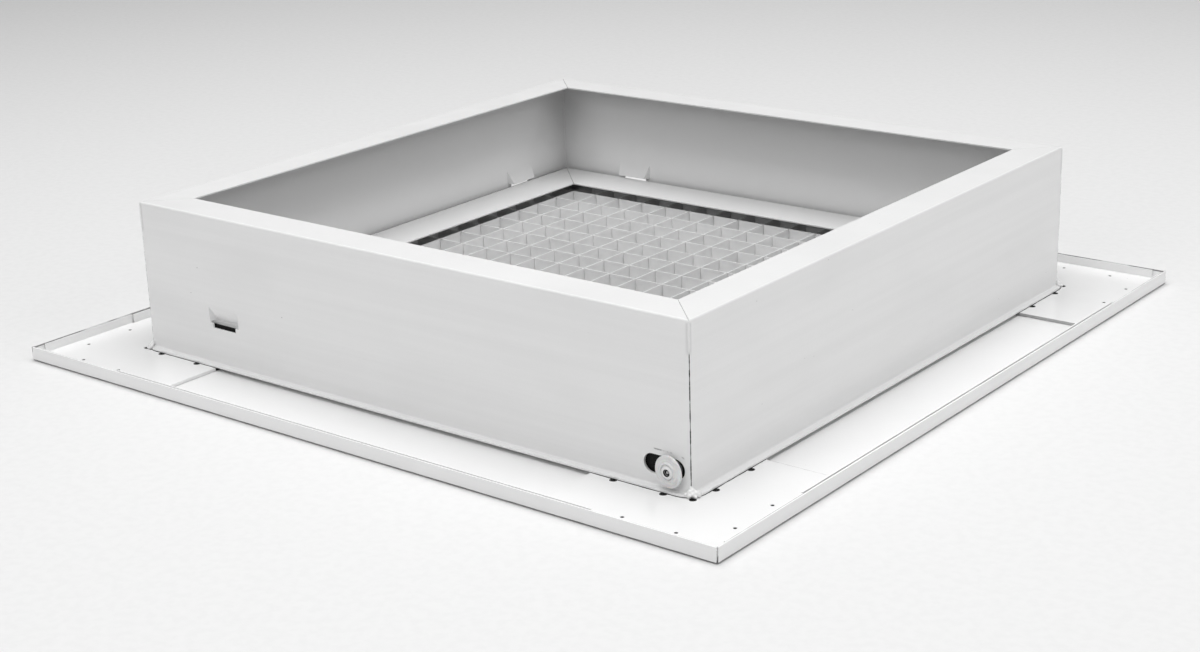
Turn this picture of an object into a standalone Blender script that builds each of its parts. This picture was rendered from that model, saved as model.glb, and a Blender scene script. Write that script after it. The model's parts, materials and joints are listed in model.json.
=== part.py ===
"""Ceiling air diffuser: a square face frame with a folded-up rim, a sheet-metal neck
on its back, and a hinged egg-crate core that swings down on two sliding pivots.

The frame lies face down: the face plane is z = 0, the neck points up (+Z), and the
origin is the centre of the face. Units are metres.
"""
import math

import bmesh
import bpy
from mathutils import Matrix, Vector

# ---- driving dimensions -------------------------------------------------------------
FACE_WIDTH = 0.595          # outside of the square face, for a 600 mm ceiling grid
TOTAL_HEIGHT = 0.112        # face plane to the top of the neck
NECK_WIDTH = 0.474          # outside of the neck walls
SHEET = 0.0012              # steel sheet thickness
GAP = 0.0003                # clearance between neighbouring pieces
MITRE_GAP = 0.0005          # open seam between two mitred pieces

RIM_HEIGHT = 0.010
RIM_SLOT = 0.0016           # slot between the outer rim and the inner stiffening fold
FOLD_HALF_LENGTH = 0.2075   # the inner fold stops where the corner plates' tabs start
FOLD_TOP = 0.0096
FLOOR_WIDTH = 0.0615        # face border, from the outer edge to the core opening

PLATE_THICKNESS = 0.002
PLATE_ARM = 0.1315          # arm length, measured from the face's outer corner
PLATE_INNER = 0.061
TAB_NEAR = 0.010            # the tab along each arm, from the outer corner
TAB_FAR = 0.0890
WELD_HOLE_RADIUS = 0.002
WELD_HOLE_OFFSET = 0.0543
WELD_HOLE_PLACES = (0.0763, 0.1132)
CORNER_HOLE_OFFSET = 0.0572
CORNER_HOLE_RADIUS = 0.0024
SMALL_HOLE_RADIUS = 0.00125
SMALL_HOLE_OFFSET = 0.0148
SMALL_HOLE_PLACES = (0.0385, 0.0765)

TOP_LIP = 0.027             # inward lip around the mouth of the neck
FOOT_LIP = 0.005            # outward lip at the foot of the neck
FOOT_CORNER_RADIUS = 0.012
TOP_BEND = 0.0014           # outside radius of the bend under the top lip
FOOT_BEND = 0.0015          # inside radius of the bend above the foot lip

CORE_CLEARANCE = 0.0045     # neck's outer face to the core frame's outer face
CORE_FRAME_HEIGHT = 0.0335
CORE_FLANGE = 0.0395        # width of both flanges of the core frame's channel
CELL_PITCH = 0.0244
BLADES_EACH_WAY = 19
BLADE_THICKNESS = 0.0007
BLADE_DEPTH = 0.0244
BLADE_END_GAP = 0.0008

PIVOT_X = 0.2235            # hinge axis with the core closed
PIVOT_Z = 0.017
SLOT_CENTRE_Z = 0.0183
SLOT_HEIGHT = 0.0124
SLOT_NEAR_X = 0.2030        # slot ends along X
SLOT_FAR_X = 0.2330
BOSS_MARGIN = 0.0033        # raised oval around the slot
BOSS_HEIGHT = 0.0005
BOSS_ROOT = 0.0003          # how deep the oval's shape reaches into the wall
BUSH_SHOULDER = 0.0016      # stands the bush's flange off the wall
BUSH_FLANGE = 0.0024

STOP_WIDTH = 0.030          # pressed-in stop: a scoop with closed sides over a slit
STOP_DEEP_WIDTH = 0.024
STOP_TOP = 0.0460
STOP_BOTTOM = 0.0352
STOP_DEPTH = 0.0055
SLIT_WIDTH = 0.0226
SLIT_BOTTOM = 0.0308
SIDE_STOP_X = -0.159        # in the front and back walls
END_STOP_Y = 0.172          # in the left wall, once on each side of the middle

SEAL_THICKNESS = 0.0012     # foam band around the core frame
SEAL_BOTTOM = 0.0030
SEAL_TOP = 0.0325
SEAL_HOLE_RADIUS = 0.0052

# ---- worked-out dimensions ----------------------------------------------------------
FACE_HALF = FACE_WIDTH / 2
NECK_HALF = NECK_WIDTH / 2
PLATE_BOTTOM = SHEET + GAP
PLATE_TOP = PLATE_BOTTOM + PLATE_THICKNESS
NECK_BOTTOM = PLATE_TOP + GAP
CORE_HALF = NECK_HALF - CORE_CLEARANCE
BLADE_HALF_LENGTH = CORE_HALF - SHEET - BLADE_END_GAP
BLADE_BOTTOM = SHEET + GAP

SIDES = {"front": 0, "right": 90, "back": 180, "left": 270}


# ---- materials ----------------------------------------------------------------------
def make_material(name, colour, roughness, metallic):
    material = bpy.data.materials.new(name)
    material.use_nodes = True
    shader = material.node_tree.nodes["Principled BSDF"]
    shader.inputs["Base Color"].default_value = (*colour, 1.0)
    shader.inputs["Roughness"].default_value = roughness
    shader.inputs["Metallic"].default_value = metallic
    return material


# ---- mesh helpers -------------------------------------------------------------------
def arc(centre, radius, start_degrees, end_degrees, steps):
    """Points on a circular arc, both ends included."""
    points = []
    for step in range(steps + 1):
        angle = math.radians(start_degrees + (end_degrees - start_degrees) * step / steps)
        points.append((centre[0] + radius * math.cos(angle),
                       centre[1] + radius * math.sin(angle)))
    return points


def new_object(name, mesh_builder, material=None):
    """Make one object from a finished bmesh, with its faces pointing out."""
    bmesh.ops.recalc_face_normals(mesh_builder, faces=mesh_builder.faces)
    mesh = bpy.data.meshes.new(name)
    mesh_builder.to_mesh(mesh)
    mesh_builder.free()
    if material:
        mesh.materials.append(material)
    obj = bpy.data.objects.new(name, mesh)
    bpy.context.scene.collection.objects.link(obj)
    return obj


def shade_round(obj, angle_degrees=30):
    obj.data.shade_smooth()
    obj.data.set_sharp_from_angle(angle=math.radians(angle_degrees))


def skin_rings(mesh_builder, rings, closed=False):
    """Join rings of vertices with quads; cap the two ends unless the skin is closed."""
    count = len(rings[0])
    pairs = list(zip(rings, rings[1:]))
    if closed:
        pairs.append((rings[-1], rings[0]))
    for ring_a, ring_b in pairs:
        for i in range(count):
            j = (i + 1) % count
            mesh_builder.faces.new((ring_a[i], ring_a[j], ring_b[j], ring_b[i]))
    if not closed:
        mesh_builder.faces.new(rings[0])
        mesh_builder.faces.new(list(reversed(rings[-1])))


def prism(mesh_builder, outline, low, high, place):
    """Extrude a flat outline; place() turns (a, b, height) into a 3-D point."""
    rings = []
    for height in (low, high):
        rings.append([mesh_builder.verts.new(place(a, b, height)) for a, b in outline])
    skin_rings(mesh_builder, rings)


def through_wall(a, b, height):
    """Outline in the XZ plane, extruded along Y."""
    return (a, height, b)


def along_wall(a, b, height):
    """Outline as a section in the YZ plane, extruded along X."""
    return (height, a, b)


def rectangle(left, right, bottom, top):
    return [(left, bottom), (right, bottom), (right, top), (left, top)]


def circle(centre, radius, segments):
    return arc(centre, radius, 0, 360 * (segments - 1) / segments, segments - 1)


def mitred_length(name, section, outer_half, material):
    """A straight profile along the front edge of a square, cut at 45 degrees at both
    ends. section holds (inward distance from the square's outer edge, height)."""
    builder = bmesh.new()
    rings = []
    for end in (-1, 1):
        ring = []
        for inward, height in section:
            reach = outer_half - inward
            ring.append(builder.verts.new((end * (reach - MITRE_GAP / 2), -reach, height)))
        rings.append(ring)
    skin_rings(builder, rings)
    return new_object(name, builder, material)


def turned(name, profile, segments, material, hollow):
    """Turn a profile of (distance along the axis, radius) about the local Y axis.
    A solid profile starts and ends on the axis, a hollow one is a closed loop."""
    builder = bmesh.new()
    inner = profile if hollow else profile[1:-1]
    rings = []
    for segment in range(segments):
        angle = 2 * math.pi * segment / segments
        ring = [builder.verts.new((radius * math.cos(angle), along, radius * math.sin(angle)))
                for along, radius in inner]
        rings.append(ring)
    count = len(inner)
    for segment in range(segments):
        ring_a = rings[segment]
        ring_b = rings[(segment + 1) % segments]
        for i in range(count if hollow else count - 1):
            j = (i + 1) % count
            builder.faces.new((ring_a[i], ring_a[j], ring_b[j], ring_b[i]))
    if not hollow:
        for along, position in ((profile[0][0], 0), (profile[-1][0], -1)):
            pole = builder.verts.new((0, along, 0))
            for segment in range(segments):
                ring_a = rings[segment]
                ring_b = rings[(segment + 1) % segments]
                builder.faces.new((pole, ring_a[position], ring_b[position]))
    obj = new_object(name, builder, material)
    shade_round(obj)
    return obj


def helper(name, builder, rotation_z=0.0):
    """A cutter or an added shape, which only feeds Boolean modifiers."""
    obj = new_object(name, builder)
    obj.rotation_euler.z = rotation_z
    obj.hide_render = True
    obj.display_type = "WIRE"
    return obj


def combine(obj, other, operation):
    modifier = obj.modifiers.new(other.name, "BOOLEAN")
    modifier.operation = operation
    modifier.solver = "EXACT"
    modifier.object = other


# ---- face frame ---------------------------------------------------------------------
def face_section():
    """Floor and outer rim of one face profile."""
    return (arc((SHEET, SHEET), SHEET, 180, 270, 3)
            + [(FLOOR_WIDTH, 0), (FLOOR_WIDTH, SHEET), (SHEET, SHEET),
               (SHEET, RIM_HEIGHT), (0, RIM_HEIGHT)])


def build_face_frame(material):
    fold_outer = SHEET + RIM_SLOT
    for side, angle in SIDES.items():
        profile = mitred_length(f"face_profile_{side}", face_section(), FACE_HALF, material)
        builder = bmesh.new()
        fold_y = -(FACE_HALF - fold_outer)
        section = rectangle(fold_y, fold_y + SHEET, SHEET / 2, FOLD_TOP)
        prism(builder, section, -FOLD_HALF_LENGTH, FOLD_HALF_LENGTH, along_wall)
        fold = helper(f"fold_shape_{side}", builder, math.radians(angle))
        combine(profile, fold, "UNION")
        profile.rotation_euler.z = math.radians(angle)


def plate_holes():
    """Hole centres and radii, as distances inward from the face's outer corner."""
    holes = [(CORNER_HOLE_OFFSET, CORNER_HOLE_OFFSET, CORNER_HOLE_RADIUS)]
    for along in WELD_HOLE_PLACES:
        holes.append((along, WELD_HOLE_OFFSET, WELD_HOLE_RADIUS))
        holes.append((WELD_HOLE_OFFSET, along, WELD_HOLE_RADIUS))
    for along in SMALL_HOLE_PLACES:
        holes.append((along, SMALL_HOLE_OFFSET, SMALL_HOLE_RADIUS))
        holes.append((SMALL_HOLE_OFFSET, along, SMALL_HOLE_RADIUS))
    return holes


def build_corner_plates(material):
    """L-shaped plates that join the mitred face profiles, each with two edge tabs."""
    edge = SHEET + GAP
    beside_fold = SHEET + RIM_SLOT + SHEET + GAP
    step = TAB_FAR - 0.0006
    outline = [(edge, edge), (step, edge), (step, beside_fold), (PLATE_ARM, beside_fold),
               (PLATE_ARM, PLATE_INNER), (PLATE_INNER, PLATE_INNER),
               (PLATE_INNER, PLATE_ARM), (beside_fold, PLATE_ARM),
               (beside_fold, step), (edge, step)]

    def from_corner(a, b, height):
        """Inward distances become the front left corner of the face."""
        return (-FACE_HALF + a, -FACE_HALF + b, height)

    for side, angle in SIDES.items():
        turn = math.radians(angle)
        builder = bmesh.new()
        prism(builder, outline, PLATE_BOTTOM, PLATE_TOP, from_corner)
        plate = new_object(f"corner_plate_{side}", builder, material)

        tab_edge = edge + 0.00005
        builder = bmesh.new()
        middle = (PLATE_BOTTOM + PLATE_TOP) / 2
        across = (tab_edge, tab_edge + SHEET)
        prism(builder, rectangle(TAB_NEAR, TAB_FAR, *across), middle, FOLD_TOP, from_corner)
        prism(builder, rectangle(*across, TAB_NEAR, TAB_FAR), middle, FOLD_TOP, from_corner)
        combine(plate, helper(f"plate_tabs_{side}", builder, turn), "UNION")

        builder = bmesh.new()
        for along, inward, radius in plate_holes():
            outline_of_hole = circle((along, inward), radius, 16)
            prism(builder, outline_of_hole, 0, PLATE_TOP + SHEET, from_corner)
        combine(plate, helper(f"plate_hole_cutter_{side}", builder, turn), "DIFFERENCE")
        plate.rotation_euler.z = turn


# ---- neck ---------------------------------------------------------------------------
def neck_section():
    """One neck wall: outward foot lip, wall and inward top lip, bent from one sheet."""
    foot_outer_bend = FOOT_BEND + SHEET
    top = TOTAL_HEIGHT
    outside = [(-FOOT_LIP, NECK_BOTTOM), (-FOOT_LIP, NECK_BOTTOM + SHEET)]
    outside += arc((-FOOT_BEND, NECK_BOTTOM + SHEET + FOOT_BEND), FOOT_BEND, -90, 0, 3)
    outside += arc((TOP_BEND, top - TOP_BEND), TOP_BEND, 180, 90, 4)
    inside = [(TOP_LIP, top), (TOP_LIP, top - SHEET)]
    inside += arc((TOP_BEND, top - TOP_BEND), TOP_BEND - SHEET, 90, 180, 3)
    inside += arc((-FOOT_BEND, NECK_BOTTOM + foot_outer_bend), foot_outer_bend, 0, -90, 4)
    return outside + inside


def slot_outline(margin):
    radius = SLOT_HEIGHT / 2
    near = (SLOT_NEAR_X + radius, SLOT_CENTRE_Z)
    far = (SLOT_FAR_X - radius, SLOT_CENTRE_Z)
    return arc(far, radius + margin, -90, 90, 12) + arc(near, radius + margin, 90, 270, 12)


def mirrored(outline, mirror_x):
    """Mirror a wall outline along the wall, keeping its winding."""
    if not mirror_x:
        return outline
    return [(-a, b) for a, b in reversed(outline)]


def foot_trimmer():
    """Rounds the four corners of the neck's foot lip."""
    reach = NECK_HALF + FOOT_LIP
    centre = reach - FOOT_CORNER_RADIUS
    outside = reach + 0.001
    rounding = arc((centre, centre), FOOT_CORNER_RADIUS, 90, 0, 6)
    outline = [(outside, centre), (outside, outside), (centre, outside)] + rounding
    builder = bmesh.new()
    for quarter in range(4):
        turn = Matrix.Rotation(math.radians(90 * quarter), 3, "Z")

        def placed(a, b, height, turn=turn):
            return turn @ Vector((a, b, height))

        prism(builder, outline, NECK_BOTTOM - 0.001, NECK_BOTTOM + SHEET + 0.0005, placed)
    return helper("foot_corner_trimmer", builder)


def add_pivot_slot(wall, side, turn, mirror_x):
    """A raised oval with a round-ended slot through it."""
    builder = bmesh.new()
    rings = []
    for margin, y in ((BOSS_MARGIN, -NECK_HALF + BOSS_ROOT),
                      (BOSS_MARGIN, -NECK_HALF),
                      (BOSS_MARGIN - 0.001, -NECK_HALF - BOSS_HEIGHT)):
        outline = mirrored(slot_outline(margin), mirror_x)
        rings.append([builder.verts.new((a, y, b)) for a, b in outline])
    skin_rings(builder, rings)
    combine(wall, helper(f"slot_boss_{side}", builder, turn), "UNION")

    builder = bmesh.new()
    outline = mirrored(slot_outline(0), mirror_x)
    prism(builder, outline, -NECK_HALF - 0.005, -NECK_HALF + 0.005, through_wall)
    combine(wall, helper(f"slot_cutter_{side}", builder, turn), "DIFFERENCE")


def wedge(mesh_builder, centre, face_y, high, low, slope, half_width, half_deep_width):
    """A wedge on a wall: no depth at its top, deepest at its bottom, sides drawn in."""
    deep_y = face_y + (high - low) * slope
    verts = [mesh_builder.verts.new((centre + sign * half, y, z))
             for half, y, z in ((half_width, face_y, high), (half_width, face_y, low),
                                (half_deep_width, deep_y, low))
             for sign in (-1, 1)]
    top_left, top_right, low_left, low_right, deep_left, deep_right = verts
    mesh_builder.faces.new((top_left, top_right, low_right, low_left))
    mesh_builder.faces.new((top_left, deep_left, deep_right, top_right))
    mesh_builder.faces.new((low_left, low_right, deep_right, deep_left))
    mesh_builder.faces.new((top_left, low_left, deep_left))
    mesh_builder.faces.new((top_right, deep_right, low_right))


def add_pressed_stop(wall, side, turn, centre):
    """A scoop pressed into the neck, open below over a slit. It stops the core frame."""
    label = f"{side}_{'a' if centre < 0 else 'b'}"
    slope = STOP_DEPTH / (STOP_TOP - STOP_BOTTOM)
    shell = SHEET * math.hypot(1, slope)
    half = STOP_WIDTH / 2
    half_deep = STOP_DEEP_WIDTH / 2
    root = 0.0001

    builder = bmesh.new()
    wedge(builder, centre, -NECK_HALF + root, STOP_TOP + (shell - root) / slope, STOP_BOTTOM,
          slope, half + shell, half_deep + shell)
    combine(wall, helper(f"stop_shape_{label}", builder, turn), "UNION")

    outside = 0.001
    builder = bmesh.new()
    wedge(builder, centre, -NECK_HALF - outside, STOP_TOP + outside / slope,
          STOP_BOTTOM - outside, slope, half, half_deep)
    combine(wall, helper(f"stop_hollow_{label}", builder, turn), "DIFFERENCE")

    builder = bmesh.new()
    outline = rectangle(centre - SLIT_WIDTH / 2, centre + SLIT_WIDTH / 2,
                        SLIT_BOTTOM, STOP_BOTTOM - outside / 2)
    prism(builder, outline, -NECK_HALF - 0.003, -NECK_HALF + SHEET + outside, through_wall)
    combine(wall, helper(f"slit_cutter_{label}", builder, turn), "DIFFERENCE")


def build_neck(material):
    trimmer = foot_trimmer()
    stops = {"front": [SIDE_STOP_X], "back": [-SIDE_STOP_X],
             "left": [-END_STOP_Y, END_STOP_Y], "right": []}
    for side, angle in SIDES.items():
        turn = math.radians(angle)
        wall = mitred_length(f"neck_wall_{side}", neck_section(), NECK_HALF, material)
        shade_round(wall)
        if side in ("front", "back"):
            add_pivot_slot(wall, side, turn, mirror_x=(side == "back"))
        for centre in stops[side]:
            add_pressed_stop(wall, side, turn, centre)
        combine(wall, trimmer, "DIFFERENCE")
        wall.rotation_euler.z = turn


# ---- sliding pivots -----------------------------------------------------------------
def bush_profile():
    """Outward distance from the neck's face, radius: sleeve, shoulder, flange, step."""
    bore = 0.0027
    seat = BOSS_HEIGHT + GAP
    flange = seat + BUSH_SHOULDER
    inner_end = -(CORE_CLEARANCE - GAP)
    return [(inner_end, bore), (inner_end, 0.0045), (seat, 0.0045), (seat, 0.0072),
            (flange, 0.0072), (flange, 0.0097), (flange + 0.0004, 0.0101),
            (flange + 0.0013, 0.0101), (flange + 0.0017, 0.0097), (flange + 0.0017, 0.0066),
            (flange + BUSH_FLANGE, 0.0062), (flange + BUSH_FLANGE, bore)]


def rivet_profile():
    """Blind rivet: closed tail, shank, domed head, and the broken stem in its bore."""
    head = BOSS_HEIGHT + GAP + BUSH_SHOULDER + BUSH_FLANGE + GAP
    tail = -(CORE_CLEARANCE + SHEET + GAP)
    return [(tail - 0.0020, 0), (tail - 0.0020, 0.0028), (tail - 0.0014, 0.0034),
            (tail, 0.0034), (tail, 0.0024), (head, 0.0024), (head, 0.0041),
            (head + 0.0005, 0.0040), (head + 0.0010, 0.0034), (head + 0.0013, 0.0026),
            (head + 0.0012, 0.0019), (head - 0.0005, 0.0018), (head - 0.0005, 0.0011),
            (head + 0.0006, 0.0009), (head + 0.0006, 0)]


def build_pivots(bush_material, rivet_material, carriage, hinge):
    for side, facing in (("front", -1), ("back", 1)):
        location = (PIVOT_X, facing * NECK_HALF, PIVOT_Z)
        bush = turned(f"pivot_bush_{side}", bush_profile(), 40, bush_material, hollow=True)
        rivet = turned(f"pivot_rivet_{side}", rivet_profile(), 24, rivet_material, hollow=False)
        for piece, parent in ((bush, carriage), (rivet, hinge)):
            piece.location = location
            piece.rotation_euler.z = math.pi if facing < 0 else 0.0
            attach(piece, parent)


# ---- hinged core --------------------------------------------------------------------
def attach(piece, parent):
    """Parent a piece without moving it."""
    piece.parent = parent
    piece.matrix_parent_inverse = parent.matrix_world.inverted()


def core_rail_section():
    """Channel with equal flanges, open towards the middle of the core."""
    web_top = CORE_FRAME_HEIGHT
    bend = SHEET * 1.25
    return (arc((bend, bend), bend, 180, 270, 3)
            + [(CORE_FLANGE, 0), (CORE_FLANGE, SHEET), (SHEET, SHEET),
               (SHEET, web_top - SHEET), (CORE_FLANGE, web_top - SHEET),
               (CORE_FLANGE, web_top)]
            + arc((bend, web_top - bend), bend, 90, 180, 3))


def build_core_frame(material, hinge):
    builder = bmesh.new()
    for facing in (-1, 1):
        low = facing * CORE_HALF - 0.004
        prism(builder, circle((PIVOT_X, PIVOT_Z), 0.0027, 24), low, low + 0.008, through_wall)
    drill = helper("rivet_hole_cutter", builder)
    for side, angle in SIDES.items():
        rail = mitred_length(f"core_rail_{side}", core_rail_section(), CORE_HALF, material)
        shade_round(rail)
        if side in ("front", "back"):
            combine(rail, drill, "DIFFERENCE")
        rail.rotation_euler.z = math.radians(angle)
        attach(rail, hinge)


def build_seal(material, hinge):
    """One foam band around the outside of the core frame, with holes for the bushes."""
    inside = CORE_HALF + GAP
    builder = bmesh.new()
    rings = []
    for corner_x, corner_y in ((-1, -1), (1, -1), (1, 1), (-1, 1)):
        section = rectangle(inside, inside + SEAL_THICKNESS, SEAL_BOTTOM, SEAL_TOP)
        rings.append([builder.verts.new((corner_x * reach, corner_y * reach, height))
                      for reach, height in section])
    skin_rings(builder, rings, closed=True)
    seal = new_object("core_seal_band", builder, material)

    builder = bmesh.new()
    for facing in (-1, 1):
        low = facing * inside - 0.004
        outline = circle((PIVOT_X, PIVOT_Z), SEAL_HOLE_RADIUS, 24)
        prism(builder, outline, low, low + 0.008, through_wall)
    combine(seal, helper("seal_hole_cutter", builder), "DIFFERENCE")
    attach(seal, hinge)


def blade_mesh(name, notched_from_top, material):
    """A strip with a half-depth notch at every crossing."""
    half_notch = BLADE_THICKNESS / 2 + GAP
    open_edge = BLADE_DEPTH if notched_from_top else 0.0
    plain_edge = BLADE_DEPTH - open_edge
    floor = BLADE_DEPTH / 2 + (-GAP / 2 if notched_from_top else GAP / 2)
    outline = [(-BLADE_HALF_LENGTH, plain_edge), (BLADE_HALF_LENGTH, plain_edge),
               (BLADE_HALF_LENGTH, open_edge)]
    middle = BLADES_EACH_WAY // 2
    for crossing in range(middle, -middle - 1, -1):
        at = crossing * CELL_PITCH
        outline += [(at + half_notch, open_edge), (at + half_notch, floor),
                    (at - half_notch, floor), (at - half_notch, open_edge)]
    outline.append((-BLADE_HALF_LENGTH, open_edge))
    builder = bmesh.new()
    prism(builder, outline, -BLADE_THICKNESS / 2, BLADE_THICKNESS / 2, through_wall)
    bmesh.ops.recalc_face_normals(builder, faces=builder.faces)
    mesh = bpy.data.meshes.new(name)
    builder.to_mesh(mesh)
    builder.free()
    mesh.materials.append(material)
    return mesh


def build_egg_crate(material, hinge):
    """Two sets of interlocking blades; blades of one set share a mesh."""
    middle = BLADES_EACH_WAY // 2
    blade_sets = (("x", blade_mesh("blade_along_x", True, material), 0.0),
                  ("y", blade_mesh("blade_along_y", False, material), math.pi / 2))
    for letter, mesh, turn in blade_sets:
        for number in range(BLADES_EACH_WAY):
            offset = (number - middle) * CELL_PITCH
            blade = bpy.data.objects.new(f"core_blade_{letter}_{number + 1:02d}", mesh)
            bpy.context.scene.collection.objects.link(blade)
            blade.rotation_euler.z = turn
            across = (0, offset) if letter == "x" else (offset, 0)
            blade.location = (*across, BLADE_BOTTOM)
            attach(blade, hinge)


def new_empty(name, location, parent=None):
    empty = bpy.data.objects.new(name, None)
    empty.location = location
    bpy.context.scene.collection.objects.link(empty)
    bpy.context.view_layer.update()
    if parent:
        attach(empty, parent)
    return empty


def main():
    for obj in list(bpy.data.objects):
        bpy.data.objects.remove(obj)

    powder_coat = make_material("white_powder_coat", (0.78, 0.78, 0.77), 0.35, 0.0)
    core_paint = make_material("white_core_paint", (0.74, 0.74, 0.73), 0.45, 0.0)
    bush_plastic = make_material("white_bush_plastic", (0.80, 0.80, 0.78), 0.40, 0.0)
    rivet_metal = make_material("rivet_metal", (0.70, 0.70, 0.70), 0.35, 0.9)
    seal_foam = make_material("black_seal_foam", (0.02, 0.02, 0.02), 0.95, 0.0)

    carriage = new_empty("pivot_carriage", (PIVOT_X, 0, PIVOT_Z))
    hinge = new_empty("core_hinge", (PIVOT_X, 0, PIVOT_Z), carriage)

    build_face_frame(powder_coat)
    build_corner_plates(powder_coat)
    build_neck(powder_coat)
    build_core_frame(powder_coat, hinge)
    build_seal(seal_foam, hinge)
    build_egg_crate(core_paint, hinge)
    build_pivots(bush_plastic, rivet_metal, carriage, hinge)


main()
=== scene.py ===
"""Looks of the ceiling air diffuser: finishes, softened edges, welds, marks and studio.

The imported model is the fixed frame. The unit lies face down, +Z up, in metres.
"""
import json
import math

import bmesh
import bpy
from mathutils import Matrix, Vector, noise


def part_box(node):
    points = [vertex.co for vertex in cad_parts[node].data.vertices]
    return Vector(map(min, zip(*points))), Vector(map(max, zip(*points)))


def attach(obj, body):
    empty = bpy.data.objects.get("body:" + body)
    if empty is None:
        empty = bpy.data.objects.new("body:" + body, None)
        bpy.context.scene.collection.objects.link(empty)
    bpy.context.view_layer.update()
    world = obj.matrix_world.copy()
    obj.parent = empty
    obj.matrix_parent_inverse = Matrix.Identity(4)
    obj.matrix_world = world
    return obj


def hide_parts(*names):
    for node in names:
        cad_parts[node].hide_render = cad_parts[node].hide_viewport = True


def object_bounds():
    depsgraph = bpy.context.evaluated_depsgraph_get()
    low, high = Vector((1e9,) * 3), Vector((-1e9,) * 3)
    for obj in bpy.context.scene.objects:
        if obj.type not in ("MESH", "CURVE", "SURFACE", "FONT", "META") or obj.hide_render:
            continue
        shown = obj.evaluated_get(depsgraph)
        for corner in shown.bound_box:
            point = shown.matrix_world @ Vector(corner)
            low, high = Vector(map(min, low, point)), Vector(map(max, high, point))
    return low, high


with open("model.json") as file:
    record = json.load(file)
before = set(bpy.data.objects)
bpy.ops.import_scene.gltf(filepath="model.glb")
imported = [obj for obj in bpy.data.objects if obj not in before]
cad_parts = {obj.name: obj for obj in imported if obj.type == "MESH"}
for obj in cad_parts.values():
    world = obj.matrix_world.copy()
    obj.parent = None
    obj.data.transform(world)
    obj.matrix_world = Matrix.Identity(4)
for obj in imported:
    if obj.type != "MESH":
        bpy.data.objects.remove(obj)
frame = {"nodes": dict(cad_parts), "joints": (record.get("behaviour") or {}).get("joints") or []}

cad_low, cad_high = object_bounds()

# ---- places and sizes read from the frame --------------------------------------------
SIDES = {"front": 0, "right": 90, "back": 180, "left": 270}     # degrees about Z
FACE_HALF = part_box("face_profile_right")[1].x
RIM_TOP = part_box("face_profile_right")[1].z
PLATE_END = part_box("corner_plate_right")[0].x
NECK_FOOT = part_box("neck_wall_right")[0].z
NECK_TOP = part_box("neck_wall_right")[1].z
FOOT_LIP_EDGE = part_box("neck_wall_right")[1].x
HINGE = next(joint for joint in frame["joints"] if joint["name"] == "core_hinge")
PIVOT = Vector(HINGE["pos_m"])

# ---- sizes that repeat the CAD model's -----------------------------------------------
SHEET = 0.0012
FOOT_LIP_WIDTH = 0.005
FOOT_LIP_TOP = NECK_FOOT + SHEET
FOOT_CORNER_RADIUS = 0.012
NECK_HALF = FOOT_LIP_EDGE - FOOT_LIP_WIDTH
RIM_JOINT = FACE_HALF - 0.00140     # between the rim and the plates' tabs behind it
SLOT_MIDDLE_X = 0.2180
SLOT_MIDDLE_Z = 0.0183
SLOT_HALF_STRAIGHT = 0.0088
OVAL_REACH = 0.0095         # edge of the raised oval, off the slot's middle line
HOLE_FLOOR = 0.0021         # inside the corner plates' holes
CORNER_HOLE = (0.0572, 0.0572, 0.0024)      # inward from the face's corner, and radius
WELD_HOLE_INWARD = 0.0543                   # from the face's edge
WELD_HOLE_PLACES = (0.0763, 0.1132)         # along it, from the face's corner
WELD_HOLE_RADIUS = 0.0020
SMALL_HOLE_INWARD = 0.0148
SMALL_HOLE_PLACES = (0.0385, 0.0765)
SMALL_HOLE_RADIUS = 0.00125

# ---- sizes of the looks --------------------------------------------------------------
EDGE_ROUNDING = 0.00016
FOOT_WELD_END = 0.0095      # the neck's open corner seams run from this height
TOP_WELD_START = 0.0915     # up to this one
WASHER_TILT = 6.0           # degrees; the bushes have play
WASHER_BACK = 0.0026        # middle of the washer's back, off the neck's face
WASHER_FACE = WASHER_BACK + 0.0016
WASHER_RADIUS = 0.0101
HUB_FACE = WASHER_FACE + 0.0010
HUB_RADIUS = 0.0054
SLEEVE_END = -0.0032        # behind the neck's wall
SLEEVE_RADIUS = 0.0040
BUSH_BORE_RADIUS = 0.0030
RIVET_HEAD = HUB_FACE - 0.0002
RIVET_HEAD_RADIUS = 0.0041
RIVET_SHANK_RADIUS = 0.0022
RIVET_TAIL = -0.0080        # end of the rivet, in the core frame's channel
RIVET_TAIL_RADIUS = 0.0034
STEM_RADIUS = 0.0010

# ---- camera --------------------------------------------------------------------------
CAMERA_PLACE = (0.8785, -1.1248, 0.4846)
CAMERA_AZIMUTH = math.radians(38.457)
CAMERA_ELEVATION = math.radians(18.778)
CAMERA_ROLL = math.radians(-1.755)
CAMERA_LENS = 61.34
SENSOR_WIDTH = 36.0
CAMERA_SHIFT = (-0.0005, -0.0034)


def add_camera():
    back = Vector((math.sin(CAMERA_AZIMUTH) * math.cos(CAMERA_ELEVATION),
                   -math.cos(CAMERA_AZIMUTH) * math.cos(CAMERA_ELEVATION),
                   math.sin(CAMERA_ELEVATION)))
    level = Vector((0, 0, 1)).cross(back).normalized()
    upright = back.cross(level)
    right = math.cos(CAMERA_ROLL) * level + math.sin(CAMERA_ROLL) * upright
    up = -math.sin(CAMERA_ROLL) * level + math.cos(CAMERA_ROLL) * upright
    camera = bpy.data.cameras.new("camera")
    camera.lens = CAMERA_LENS
    camera.sensor_width = SENSOR_WIDTH
    camera.shift_x, camera.shift_y = CAMERA_SHIFT
    camera.clip_start = 0.01
    camera.clip_end = 100
    obj = bpy.data.objects.new("camera", camera)
    placed = Matrix((right, up, back)).transposed().to_4x4()
    placed.translation = CAMERA_PLACE
    obj.matrix_world = placed
    bpy.context.scene.collection.objects.link(obj)
    bpy.context.scene.camera = obj


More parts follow.
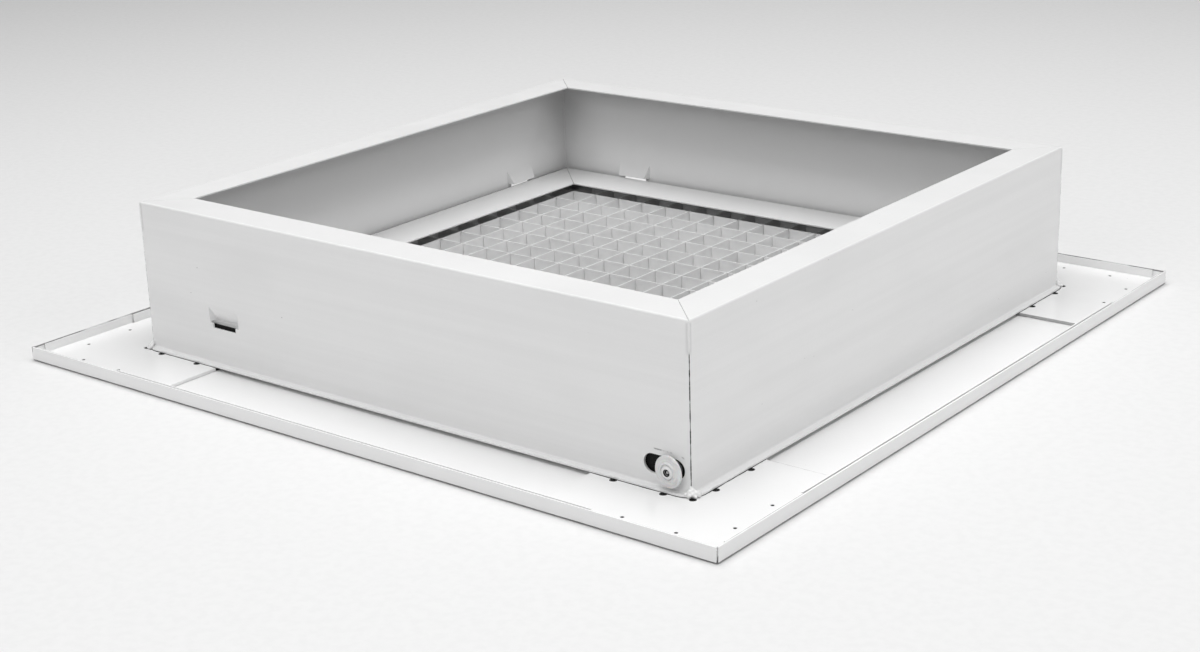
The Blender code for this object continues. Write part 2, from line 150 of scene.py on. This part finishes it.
# ---- node calls ----------------------------------------------------------------------
class Finish:
    """A Principled material under construction, with short calls for its nodes."""

    def __init__(self, name, metallic=0.0):
        self.material = bpy.data.materials.new(name)
        self.material.use_nodes = True
        self.tree = self.material.node_tree
        self.shader = self.tree.nodes["Principled BSDF"]
        self.shader.inputs["Metallic"].default_value = metallic
        self.place = self.tree.nodes.new("ShaderNodeTexCoord").outputs["Object"]
        self.xyz = self.tree.nodes.new("ShaderNodeSeparateXYZ")
        self.put(self.xyz.inputs[0], self.place)

    def put(self, socket, value):
        if isinstance(value, bpy.types.NodeSocket):
            self.tree.links.new(value, socket)
        elif socket.type == "RGBA":
            socket.default_value = (*value, 1.0)
        else:
            socket.default_value = value

    def set(self, name, value):
        self.put(self.shader.inputs[name], value)

    def math(self, operation, a, b=0.0):
        node = self.tree.nodes.new("ShaderNodeMath")
        node.operation = operation
        self.put(node.inputs[0], a)
        self.put(node.inputs[1], b)
        return node.outputs[0]

    def less(self, a, b):
        return self.math("SUBTRACT", a, b)

    def times(self, first, *others):
        for other in others:
            first = self.math("MULTIPLY", first, other)
        return first

    def absolute(self, value):
        """The value without its sign."""
        return self.math("ABSOLUTE", value)

    def length(self, a, b):
        """Length of the vector (a, b)."""
        return self.math("SQRT", self.math("ADD", self.times(a, a), self.times(b, b)))

    def height(self):
        return self.xyz.outputs["Z"]

    def off_middle(self, letter, middle=0.0):
        """Distance of the surface point along X or Y from a middle."""
        return self.absolute(self.less(self.xyz.outputs[letter], middle))

    def outward(self):
        """Distance from the middle of the unit, measured as for the sides of a square."""
        return self.math("MAXIMUM", self.off_middle("X"), self.off_middle("Y"))

    def off_diagonal(self):
        """Distance from a corner's mitre, measured along the side."""
        return self.absolute(self.less(self.off_middle("X"), self.off_middle("Y")))

    def noise(self, scale, detail=2.0, stretch=(1, 1, 1), offset=(0, 0, 0)):
        """Noise about 0 to 1; scale is in waves a metre, stretch multiplies each axis."""
        mapping = self.tree.nodes.new("ShaderNodeMapping")
        self.put(mapping.inputs["Vector"], self.place)
        mapping.inputs["Scale"].default_value = stretch
        mapping.inputs["Location"].default_value = offset
        node = self.tree.nodes.new("ShaderNodeTexNoise")
        self.put(node.inputs["Vector"], mapping.outputs[0])
        node.inputs["Scale"].default_value = scale
        node.inputs["Detail"].default_value = detail
        return node.outputs[0]

    def fade(self, value, low, high, out_low=0.0, out_high=1.0):
        """Map value from low..high to out_low..out_high, clamped."""
        node = self.tree.nodes.new("ShaderNodeMapRange")
        node.interpolation_type = "SMOOTHSTEP"
        self.put(node.inputs["Value"], value)
        for name, number in (("From Min", low), ("From Max", high),
                             ("To Min", out_low), ("To Max", out_high)):
            node.inputs[name].default_value = number
        return node.outputs[0]

    def mix(self, factor, a, b):
        """Colour a where the factor is 0, colour b where it is 1."""
        node = self.tree.nodes.new("ShaderNodeMix")
        node.data_type = "RGBA"
        self.put(node.inputs[0], factor)
        self.put(node.inputs[6], a)
        self.put(node.inputs[7], b)
        return node.outputs[2]

    def specks(self, scale, size, share):
        """Small round specks: one cell in a share of them holds a speck of that size."""
        cells = self.tree.nodes.new("ShaderNodeTexVoronoi")
        self.put(cells.inputs["Vector"], self.place)
        cells.inputs["Scale"].default_value = scale
        split = self.tree.nodes.new("ShaderNodeSeparateColor")
        self.put(split.inputs[0], cells.outputs["Color"])
        chosen = self.math("LESS_THAN", split.outputs[0], share)
        near = self.fade(cells.outputs["Distance"], size * scale * 0.5, size * scale, 1.0, 0.0)
        return self.times(chosen, near)

    def bump(self, *layers):
        """Bump nodes in a row; each layer is (height socket, depth in metres)."""
        normal = None
        for height, depth in layers:
            node = self.tree.nodes.new("ShaderNodeBump")
            node.inputs["Distance"].default_value = depth
            self.put(node.inputs["Height"], height)
            if normal:
                self.put(node.inputs["Normal"], normal)
            normal = node.outputs[0]
        self.set("Normal", normal)


def grey(level):
    return (level, level, level)


# ---- powder coat, and the marks that only some pieces have ---------------------------
def powder_coat(name, level, *marks):
    """White powder coat: orange peel, faint streaks along the sheet, smudges and specks
    of dirt. Roughness stays under 0.27, where the renderer's denoiser keeps it even."""
    finish = Finish(name)
    streaks = finish.noise(2.5, 3.0, (1, 1, 70))
    smudges = finish.noise(11.0, 1.5, (1, 1, 2.2), (0.31, 0.12, 0.4))
    grain = finish.noise(900.0, 2.0)
    tone = finish.mix(finish.fade(streaks, 0.30, 0.75), grey(level * 1.01), grey(level * 0.975))
    tone = finish.mix(finish.fade(smudges, 0.45, 0.90, 0.0, 0.8), tone, grey(level * 0.93))
    tone = finish.mix(finish.fade(grain, 0.20, 0.80, 0.0, 0.2), tone, grey(level * 0.96))
    tone = finish.mix(finish.specks(110.0, 0.00042, 0.05), tone, grey(0.25))
    for mark in marks:
        tone = mark(finish, tone)
    finish.set("Base Color", tone)
    finish.set("Roughness", finish.fade(finish.noise(45.0, 3.0), 0.2, 0.8, 0.18, 0.26))
    peel = finish.noise(420.0, 2.0)
    waves = finish.noise(9.0, 1.0)
    finish.bump((waves, 0.0009), (peel, 0.000035), (grain, 0.000010))
    return finish.material


def rim_joint_shade(finish, tone):
    """Thin painted shade in the joint between the rim and the plates' tabs behind it."""
    off_joint = finish.absolute(finish.less(finish.outward(), RIM_JOINT))
    line = finish.fade(off_joint, 0.00025, 0.00055, 0.9, 0.0)
    high = finish.fade(finish.height(), RIM_TOP - 0.0012, RIM_TOP - 0.0009)
    broken = finish.fade(finish.noise(35.0, 2.0), 0.35, 0.50, 0.25, 1.0)
    return finish.mix(finish.times(line, high, broken), tone, grey(0.18))


def rim_contact_and_mitre_shade(finish, tone):
    """Painted contact shadow on the lowest edge of the face's rim, and painted shade along its
    open corner mitres.
    """
    # painted contact shadow along the rim's bottom edge
    reach = finish.fade(finish.noise(60.0, 3.0), 0.30, 0.70, 0.0009, 0.0012)
    share = finish.math("DIVIDE", finish.height(), reach)
    tone = finish.mix(finish.fade(share, 0.5, 1.0, 0.88, 0.0), tone, grey(0.06))
    # painted shade in the rim's open corner mitres
    reach = finish.fade(finish.noise(500.0, 3.0), 0.30, 0.70, 0.0005, 0.0013)
    share = finish.math("DIVIDE", finish.off_diagonal(), reach)
    on_rim = finish.fade(finish.outward(), FACE_HALF - 0.0016, FACE_HALF - 0.0014)
    seam = finish.times(finish.fade(share, 0.4, 1.0, 0.75, 0.0), on_rim)
    return finish.mix(seam, tone, grey(0.10))


def foot_lip_shadow(finish, tone):
    """Painted contact shadow on the corner plates: a dark line where the neck's foot lip stands
    on them.
    """
    straight = FOOT_LIP_EDGE - FOOT_CORNER_RADIUS
    past_x = finish.math("MAXIMUM", finish.less(finish.off_middle("X"), straight), 0.0)
    past_y = finish.math("MAXIMUM", finish.less(finish.off_middle("Y"), straight), 0.0)
    beyond = finish.less(finish.length(past_x, past_y), FOOT_CORNER_RADIUS)
    reach = finish.fade(finish.noise(120.0, 3.0), 0.30, 0.70, 0.0001, 0.0005)
    edge = finish.fade(finish.less(beyond, reach), -0.00015, 0.00015, 1.0, 0.0)
    return finish.mix(edge, tone, grey(0.03))


def weld_hole_shade(finish, tone):
    """Painted shade around the weld holes beside the neck's foot, widening the holes' dark look.
    """
    beside = finish.math("MINIMUM", finish.off_middle("X"), finish.off_middle("Y"))
    across = finish.less(finish.outward(), FACE_HALF - WELD_HOLE_INWARD)
    for place in WELD_HOLE_PLACES:
        along = finish.less(beside, FACE_HALF - place)
        spot = finish.fade(finish.length(across, along), 0.0023, 0.0027, 1.0, 0.0)
        tone = finish.mix(spot, tone, grey(0.02))
    return tone


def plate_end_shade(finish, tone):
    """Painted shade on the plates' cut ends, on the two sides of the face that run along Y."""
    reach = finish.fade(finish.noise(260.0, 3.0), 0.30, 0.70, 0.0002, 0.0006)
    share = finish.math("DIVIDE", finish.less(finish.off_middle("Y"), PLATE_END), reach)
    return finish.mix(finish.fade(share, 0.3, 1.0, 0.80, 0.0), tone, grey(0.30))


def inner_shade(finish, tone):
    """Painted shade inside the neck: it is greyer than its outside, most of all under its top
    lip.
    """
    inside = finish.fade(finish.outward(), NECK_HALF - SHEET * 0.9, NECK_HALF - SHEET * 0.6,
                         1.0, 0.0)
    under = finish.fade(finish.height(), NECK_TOP - SHEET * 0.9, NECK_TOP - SHEET * 0.6, 1.0, 0.0)
    rising = finish.fade(finish.height(), NECK_FOOT + 0.040, NECK_TOP - 0.004)
    shaded_grey = finish.mix(rising, grey(0.86), grey(0.62))
    return finish.mix(finish.times(inside, under), tone, shaded_grey)


def ground_corner_shade(finish, tone):
    """Painted shade down the top of each corner, where the weld is ground round."""
    near = finish.fade(finish.off_diagonal(), 0.0008, 0.0034, 1.0, 0.0)
    above = finish.fade(finish.height(), TOP_WELD_START - 0.002, TOP_WELD_START + 0.002)
    below = finish.fade(finish.height(), NECK_TOP - 0.0030, NECK_TOP - 0.0012, 1.0, 0.0)
    return finish.mix(finish.times(near, above, below, 0.75), tone, grey(0.62))


def seam_shade(finish, tone):
    """Painted shade along the open mitre seam, ragged at its edges, on the outside of the
    neck only and between the two welded ends."""
    ragged = finish.noise(230.0, 4.0, (0.3, 0.3, 1))
    reach = finish.fade(ragged, 0.32, 0.66, 0.00028, 0.00058)
    share = finish.math("DIVIDE", finish.off_diagonal(), reach)
    line = finish.fade(share, 0.80, 1.0, 1.0, 0.0)
    below_top = finish.fade(finish.height(), TOP_WELD_START - 0.001, TOP_WELD_START, 1.0, 0.0)
    above_foot = finish.fade(finish.height(), FOOT_WELD_END - 0.001, FOOT_WELD_END, 0.0, 1.0)
    outer = finish.fade(finish.outward(), NECK_HALF - SHEET * 0.8, NECK_HALF - SHEET * 0.6)
    return finish.mix(finish.times(line, below_top, above_foot, outer), tone, grey(0.012))


def oval_edge_marks(finish, tone):
    """Broken dark marks along the upper edge of the raised oval around each pivot slot."""
    past = finish.less(finish.off_middle("X", SLOT_MIDDLE_X), SLOT_HALF_STRAIGHT)
    above = finish.less(finish.height(), SLOT_MIDDLE_Z)
    reach = finish.length(finish.math("MAXIMUM", past, 0.0), above)
    off_edge = finish.absolute(finish.less(reach, OVAL_REACH))
    line = finish.fade(off_edge, 0.00015, 0.00060, 0.85, 0.0)
    upper = finish.fade(above, 0.0020, 0.0050)
    scattered = finish.noise(110.0, 3.0, offset=(1.1, 0.2, 0.5))
    broken = finish.fade(scattered, 0.53, 0.63, 0.0, 0.9)
    on_face = finish.fade(finish.off_middle("Y"), NECK_HALF - 0.0006, NECK_HALF - 0.0002)
    return finish.mix(finish.times(line, upper, broken, on_face), tone, grey(0.15))


# ---- other finishes ------------------------------------------------------------------
def core_paint_finish():
    """Thinner satin paint on the egg-crate blades, a little grey with dust."""
    finish = Finish("core_paint_satin")
    dust = finish.noise(60.0, 4.0)
    streaks = finish.noise(25.0, 2.0, (1, 1, 6))
    tone = finish.mix(finish.fade(dust, 0.35, 0.75), grey(0.88), grey(0.82))
    tone = finish.mix(finish.fade(streaks, 0.45, 0.75, 0.0, 0.5), tone, grey(0.80))
    finish.set("Base Color", tone)
    finish.set("Roughness", finish.fade(dust, 0.3, 0.7, 0.40, 0.58))
    finish.bump((finish.noise(700.0, 2.0), 0.00002))
    return finish.material


def bush_finish():
    """Moulded nylon: slightly cloudy, with a few specks of dirt."""
    finish = Finish("bush_nylon")
    cloud = finish.noise(180.0, 3.0)
    tone = finish.mix(finish.fade(cloud, 0.35, 0.7), grey(0.80), grey(0.72))
    finish.set("Base Color", finish.mix(finish.specks(420.0, 0.00022, 0.10), tone, grey(0.35)))
    finish.set("Roughness", finish.fade(cloud, 0.3, 0.7, 0.30, 0.46))
    finish.set("Subsurface Weight", 0.12)
    finish.set("Subsurface Scale", 0.001)
    finish.bump((finish.noise(1500.0, 2.0), 0.00001))
    return finish.material


def rivet_finish():
    """Aluminium rivet end with a dull, scratched face."""
    finish = Finish("rivet_aluminium", metallic=1.0)
    scratches = finish.noise(900.0, 3.0, (1, 1, 5))
    finish.set("Base Color", finish.mix(finish.fade(scratches, 0.3, 0.7), grey(0.62), grey(0.42)))
    finish.set("Roughness", finish.fade(scratches, 0.3, 0.7, 0.30, 0.55))
    finish.bump((scratches, 0.00002))
    return finish.material


def dark_finish(name, level, rough_low, rough_high):
    """Dark open-celled foam, or the near-black painted shade put in holes, bores and open seams.
    """
    finish = Finish(name)
    cells = finish.noise(1100.0, 4.0)
    tone = finish.mix(finish.fade(cells, 0.3, 0.7), grey(level), grey(level * 0.35))
    finish.set("Base Color", tone)
    finish.set("Roughness", finish.fade(cells, 0.3, 0.7, rough_low, rough_high))
    finish.bump((cells, 0.00025))
    return finish.material


# ---- the CAD's own nodes -------------------------------------------------------------
def assign(obj, material):
    if obj.material_slots:
        for place in obj.material_slots:
            place.material = material
    else:
        obj.data.materials.append(material)


def soften(obj):
    """Merge the loaded triangles into faces and round every sharp edge a little."""
    weld = obj.modifiers.new("weld", "WELD")
    weld.merge_threshold = 0.00002
    flatten = obj.modifiers.new("flatten", "DECIMATE")
    flatten.decimate_type = "DISSOLVE"
    flatten.angle_limit = math.radians(0.5)
    rounded = obj.modifiers.new("rounded", "BEVEL")
    rounded.width = EDGE_ROUNDING
    rounded.segments = 2
    rounded.limit_method = "ANGLE"
    rounded.angle_limit = math.radians(28)
    rounded.use_clamp_overlap = True
    rounded.harden_normals = False
    obj.modifiers.new("weighted", "WEIGHTED_NORMAL")


# ---- shapes for new pieces -----------------------------------------------------------
def new_piece(name, builder, material, body):
    bmesh.ops.recalc_face_normals(builder, faces=builder.faces)
    mesh = bpy.data.meshes.new(name)
    builder.to_mesh(mesh)
    builder.free()
    mesh.materials.append(material)
    mesh.shade_smooth()
    obj = bpy.data.objects.new(name, mesh)
    bpy.context.scene.collection.objects.link(obj)
    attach(obj, body)
    return obj


def turn_about(builder, profile, segments, placed):
    """Turn (distance along the axis, radius) points about an axis. A radius of 0 at an
    end closes the shape there; a profile with none of these is a closed loop."""
    solid = profile[0][1] == 0
    inner = profile[1:-1] if solid else profile
    rings = []
    for segment in range(segments):
        angle = 2 * math.pi * segment / segments
        rings.append([builder.verts.new(placed @ Vector((radius * math.cos(angle), along,
                                                         radius * math.sin(angle))))
                      for along, radius in inner])
    count = len(inner)
    for segment in range(segments):
        ring_a, ring_b = rings[segment], rings[(segment + 1) % segments]
        for i in range(count - 1 if solid else count):
            j = (i + 1) % count
            builder.faces.new((ring_a[i], ring_a[j], ring_b[j], ring_b[i]))
    if solid:
        for (along, _), index in ((profile[0], 0), (profile[-1], -1)):
            pole = builder.verts.new(placed @ Vector((0, along, 0)))
            for segment in range(segments):
                builder.faces.new((pole, rings[segment][index],
                                   rings[(segment + 1) % segments][index]))


def round_corner(before, corner, after, radius, steps=3):
    """Points of a small arc in place of one corner of a profile."""
    corner = Vector(corner)
    to_before = Vector(before) - corner
    to_after = Vector(after) - corner
    cut = min(radius, to_before.length * 0.45, to_after.length * 0.45)
    start = corner + to_before.normalized() * cut
    end = corner + to_after.normalized() * cut
    points = []
    for step in range(steps + 1):
        t = step / steps
        points.append(tuple(start.lerp(corner, t).lerp(corner.lerp(end, t), t)))
    return points


def rounded_loop(points, radius):
    """Round every corner of a closed profile."""
    out = []
    for number, corner in enumerate(points):
        after = points[(number + 1) % len(points)]
        out += round_corner(points[number - 1], corner, after, radius)
    return out


def rounded_ends(points, radius):
    """Round every corner of an open profile, but keep its two ends."""
    out = [points[0]]
    for before, corner, after in zip(points, points[1:], points[2:]):
        out += round_corner(before, corner, after, radius)
    return out + [points[-1]]


def closed_tube(builder, rings):
    """Faces between each ring of points and the next, and a cap on both ends."""
    for ring_a, ring_b in zip(rings, rings[1:]):
        for i in range(len(ring_a)):
            j = (i + 1) % len(ring_a)
            builder.faces.new((ring_a[i], ring_a[j], ring_b[j], ring_b[i]))
    builder.faces.new(list(reversed(rings[0])))
    builder.faces.new(rings[-1])


def lumpy_bead(route, radius, seed, lumps, sides):
    """A weld bead: a closed tube along a route, with the ripples of the weld pool."""
    builder = bmesh.new()
    rings = []
    count = len(route)
    for number, point in enumerate(route):
        before = route[max(number - 1, 0)]
        after = route[min(number + 1, count - 1)]
        along = (after - before).normalized()
        across = along.orthogonal().normalized()
        beside = along.cross(across)
        t = number / (count - 1)
        taper = math.sqrt(max(1 - abs(2 * t - 1) ** 5, 0.02))
        ring = []
        for side in range(sides):
            angle = 2 * math.pi * side / sides
            direction = math.cos(angle) * across + math.sin(angle) * beside
            rough = noise.noise(point * 420 + direction * 0.9 + Vector((seed, 0, 0)))
            ripple = 0.10 * math.sin(number * 1.25 + 0.6 * math.cos(angle) + seed)
            reach = radius * taper * (1 + lumps * rough + ripple * lumps * 2)
            ring.append(builder.verts.new(point + direction * reach))
        rings.append(ring)
    closed_tube(builder, rings)
    return builder


# ---- pivots --------------------------------------------------------------------------
def build_washer(side, askew, material):
    """The stepped washer of a bush, with the sleeve that runs through the slot."""
    collar = 0.0014
    groove = WASHER_FACE - 0.0003
    recess = HUB_FACE - 0.0008
    profile = [(SLEEVE_END, BUSH_BORE_RADIUS), (SLEEVE_END, SLEEVE_RADIUS),
               (collar, SLEEVE_RADIUS), (collar, 0.0070), (WASHER_BACK, 0.0072),
               (WASHER_BACK, WASHER_RADIUS), (WASHER_FACE, WASHER_RADIUS),
               (WASHER_FACE, 0.0088), (groove, 0.0085), (groove, 0.0074),
               (WASHER_FACE, 0.0071), (WASHER_FACE, 0.0060), (HUB_FACE, HUB_RADIUS),
               (HUB_FACE, 0.0048), (recess, 0.0046), (recess, BUSH_BORE_RADIUS)]
    builder = bmesh.new()
    turn_about(builder, rounded_loop(profile, 0.00045), 96, askew)
    washer = new_piece(f"pivot_washer_{side}", builder, material, "pivot_carriage")
    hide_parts(f"pivot_bush_{side}")


def build_rivet(side, straight, paint, metal, near_black_shade):
    """A painted hollow rivet with painted shade in its bore, and the broken stem inside it."""
    top = RIVET_HEAD
    profile = [(RIVET_TAIL, 0), (RIVET_TAIL, 0.0028), (-0.0074, RIVET_TAIL_RADIUS),
               (-0.0060, RIVET_TAIL_RADIUS), (-0.0060, RIVET_SHANK_RADIUS),
               (top, RIVET_SHANK_RADIUS), (top, RIVET_HEAD_RADIUS), (top + 0.0006, 0.0040),
               (top + 0.0011, 0.0034), (top + 0.0013, 0.0028), (top + 0.0011, 0.0023),
               (top - 0.0025, 0.0021), (top - 0.0025, 0)]
    builder = bmesh.new()
    turn_about(builder, rounded_ends(profile, 0.00015), 72, straight)
    shell = new_piece(f"rivet_shell_{side}", builder, paint, "core")
    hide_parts(f"pivot_rivet_{side}")
    shell.data.materials.append(near_black_shade)
    back = straight.inverted()
    for polygon in shell.data.polygons:
        off = back @ polygon.center
        # the bore's faces take the near-black material, as painted shade
        in_bore = math.hypot(off.x, off.z) < 0.00225 and top - 0.0030 < off.y < top + 0.0009
        polygon.material_index = 1 if in_bore else 0

    profile = [(top - 0.0026, 0), (top - 0.0026, STEM_RADIUS), (top - 0.0002, STEM_RADIUS),
               (top + 0.0001, 0.0008), (top, 0.0004), (top + 0.0002, 0)]
    builder = bmesh.new()
    turn_about(builder, rounded_ends(profile, 0.00012), 48, straight)
    new_piece(f"rivet_stem_{side}", builder, metal, "core")


def build_pivots(bush, paint, metal, near_black_shade):
    """The washers sit a little askew on their rivets, as they do when the bush has play."""
    for side, facing in (("front", -1), ("back", 1)):
        middle = Matrix.Translation((PIVOT.x, facing * NECK_HALF, PIVOT.z))
        outward = Matrix.Rotation(math.pi if facing < 0 else 0.0, 4, "Z")
        tilt = Matrix.Rotation(math.radians(facing * WASHER_TILT), 4, "Z")
        build_washer(side, middle @ tilt @ outward, bush)
        build_rivet(side, middle @ outward, paint, metal, near_black_shade)


# ---- welds, and the open seams between them ------------------------------------------
FOOT_WELD_LUMPS = (         # out along the diagonal, along the seam's normal, height, radius
    (-0.0004, 0.0000, 0.0036, 0.0013), (0.0004, 0.0006, 0.0022, 0.0018),
    (0.0006, -0.0008, 0.0014, 0.0019), (0.0012, 0.0016, 0.0010, 0.0019),
    (0.0014, 0.0002, 0.0004, 0.0018), (0.0006, 0.0032, 0.0012, 0.0014),
    (0.0018, 0.0030, 0.0002, 0.0014), (0.0020, -0.0014, 0.0000, 0.0014),
    (0.0004, -0.0026, 0.0006, 0.0012), (0.0026, 0.0012, -0.0004, 0.0013))


def add_lump(builder, middle, radius, seed):
    """A rounded drop of weld with an uneven skin."""
    made = bmesh.ops.create_icosphere(builder, subdivisions=3, radius=radius)
    for vert in made["verts"]:
        rough = noise.noise(vert.co * 700 + Vector((seed, seed, 0)))
        vert.co = middle + vert.co * (1 + 0.12 * rough)


def build_foot_weld(name, corner, turn, number, paint):
    builder = bmesh.new()
    for out, along, height, radius in FOOT_WELD_LUMPS:
        middle = corner(-out, FOOT_LIP_TOP + height) + turn @ Vector((along, along, 0))
        add_lump(builder, middle, radius, number + out * 900)
    blob = new_piece(name, builder, paint, "root")
    fused = blob.modifiers.new("fused", "REMESH")
    fused.mode = "VOXEL"
    fused.voxel_size = 0.00028
    fused.use_smooth_shade = True
    eased = blob.modifiers.new("eased", "SMOOTH")
    eased.factor = 0.5
    eased.iterations = 10


def build_welds(paint, inner_paint, dark):
    """Each corner of the neck is welded at its foot and, ground flush, at its top. Its
    open seam holds a near-black strip between the two welds, as painted shade, and paint
    has filled the seam's inner side."""
    for number, (side, angle) in enumerate(SIDES.items()):
        turn = Matrix.Rotation(math.radians(angle), 3, "Z")

        def corner(inward, height, turn=turn):
            """A point on the diagonal through this corner of the neck."""
            reach = NECK_HALF - inward
            return turn @ Vector((reach, -reach, height))

        def upright(inward, low, high, steps, corner=corner):
            """Points up this corner of the neck."""
            return [corner(inward, low + (high - low) * step / steps)
                    for step in range(steps + 1)]

        route = upright(0.00055, TOP_WELD_START, NECK_TOP - 0.0006, 26)
        builder = lumpy_bead(route, 0.00085, number * 3.1, 0.12, 20)
        new_piece(f"neck_corner_weld_top_{side}", builder, paint, "root")

        # a near-black strip in the open seam, as painted shade
        route = upright(0.0008, FOOT_WELD_END, TOP_WELD_START, 60)
        builder = lumpy_bead(route, 0.00042, number * 1.9, 0.3, 12)
        new_piece(f"neck_seam_shade_strip_{side}", builder, dark, "root")

        route = upright(0.00155, FOOT_WELD_END, NECK_TOP - 0.0018, 60)
        builder = lumpy_bead(route, 0.00065, number * 2.3, 0.1, 12)
        new_piece(f"neck_seam_fillet_{side}", builder, inner_paint, "root")

        build_foot_weld(f"neck_corner_weld_foot_{side}", corner, turn, number, paint)


# ---- dark plugs of painted shade in the corner plates' holes -------------------------
PLUG_RINGS = (              # share of the hole's radius, height over its floor
    (0.98, -0.0001), (1.0, 0.0012), (0.8, 0.0009), (0.45, 0.0006))
PLUG_SIDES = 24


def add_plug(builder, middle, radius, turn, number):
    """A shallow, uneven dish that fills one hole."""
    rings = []
    for share, rise in PLUG_RINGS:
        ring = []
        for step in range(PLUG_SIDES):
            bearing = 2 * math.pi * step / PLUG_SIDES
            way = Vector((math.cos(bearing), math.sin(bearing), 0))
            point = middle + way * radius * share
            lift = 0.00012 * noise.noise(point * 900 + Vector((number, 0, 0)))
            ring.append(builder.verts.new(turn @ (point + Vector((0, 0, rise + lift)))))
        rings.append(ring)
    closed_tube(builder, rings)


def build_hole_plugs(near_black_shade):
    """Near-black dishes at the bottom of the corner plates' weld holes, as painted shade."""
    holes = [CORNER_HOLE]
    for places, inward, radius in ((WELD_HOLE_PLACES, WELD_HOLE_INWARD, WELD_HOLE_RADIUS),
                                   (SMALL_HOLE_PLACES, SMALL_HOLE_INWARD, SMALL_HOLE_RADIUS)):
        for along in places:
            holes += [(along, inward, radius), (inward, along, radius)]
    for number, (side, angle) in enumerate(SIDES.items()):
        turn = Matrix.Rotation(math.radians(angle), 3, "Z")
        builder = bmesh.new()
        for along, inward, radius in holes:
            middle = Vector((FACE_HALF - along, -FACE_HALF + inward, HOLE_FLOOR))
            add_plug(builder, middle, radius - 0.0001, turn, number)
        new_piece(f"plate_hole_shade_plugs_{side}", builder, near_black_shade, "root")


# ---- studio --------------------------------------------------------------------------
WORLD_LIGHT = 0.233
AREA_LIGHTS = {             # place, size and watts
    "top_light": ((0, 0, 2.4), 2.2, 57.6),
    "front_light": ((0, -2.6, 1.5), 1.6, 17.0),
    "right_light": ((2.6, 0.3, 1.4), 1.6, 16.5),
}
LIGHT_TARGET = Vector((0, 0, 0.03))
FLOOR_HALF = 12
FLOOR_GAP = 0.0002          # under the unit's face


def add_lights():
    world = bpy.data.worlds.new("studio")
    world.use_nodes = True
    world.node_tree.nodes["Background"].inputs["Color"].default_value = (1, 1, 1, 1)
    world.node_tree.nodes["Background"].inputs["Strength"].default_value = WORLD_LIGHT
    bpy.context.scene.world = world
    bpy.context.scene.view_settings.view_transform = "Standard"

    for name, (place, size, watts) in AREA_LIGHTS.items():
        light = bpy.data.lights.new(name, "AREA")
        light.shape = "SQUARE"
        light.size = size
        light.energy = watts
        obj = bpy.data.objects.new(name, light)
        obj.location = place
        aim = LIGHT_TARGET - Vector(place)
        obj.rotation_euler = aim.to_track_quat("-Z", "Y").to_euler()
        bpy.context.scene.collection.objects.link(obj)


def add_floor():
    paper = Finish("studio_paper")
    fibres = paper.noise(160.0, 4.0)
    paper.set("Base Color", paper.mix(paper.fade(fibres, 0.35, 0.7), grey(0.76), grey(0.74)))
    paper.set("Roughness", 0.9)
    paper.bump((fibres, 0.0001))
    builder = bmesh.new()
    bmesh.ops.create_grid(builder, x_segments=8, y_segments=8, size=FLOOR_HALF)
    mesh = bpy.data.meshes.new("studio_floor")
    builder.to_mesh(mesh)
    builder.free()
    mesh.materials.append(paper.material)
    floor = bpy.data.objects.new("studio_floor", mesh)
    floor.location.z = cad_low.z - FLOOR_GAP
    bpy.context.scene.collection.objects.link(floor)


# ---- assembly ------------------------------------------------------------------------
def main():
    add_camera()
    add_lights()
    add_floor()

    paints = {
        "face": powder_coat("powder_coat_face", 0.88, rim_joint_shade, rim_contact_and_mitre_shade),
        "corner": powder_coat("powder_coat_plates", 0.87, rim_joint_shade, foot_lip_shadow,
                              plate_end_shade, weld_hole_shade),
        "neck": powder_coat("powder_coat_neck", 0.85, inner_shade, ground_corner_shade, seam_shade,
                            oval_edge_marks),
        "core": powder_coat("powder_coat_core_frame", 0.80),
    }
    weld_paint = powder_coat("powder_coat_on_weld", 0.83)
    blade_paint = core_paint_finish()
    bush = bush_finish()
    metal = rivet_finish()
    foam = dark_finish("seal_foam_black", 0.008, 0.85, 1.0)
    # near-black painted shade for the plates' holes, the rivets' bores and the open seams
    near_black_shade = dark_finish("painted_shade_black", 0.010, 0.6, 0.9)

    for name, obj in frame["nodes"].items():
        if name.startswith("core_blade"):
            assign(obj, blade_paint)
        elif name == "core_seal_band":
            assign(obj, foam)
        elif name.startswith("pivot_"):
            assign(obj, bush)
        else:
            assign(obj, paints[name.split("_")[0]])
            soften(obj)

    build_pivots(bush, weld_paint, metal, near_black_shade)
    build_welds(weld_paint, paints["neck"], near_black_shade)
    build_hole_plugs(near_black_shade)


main()
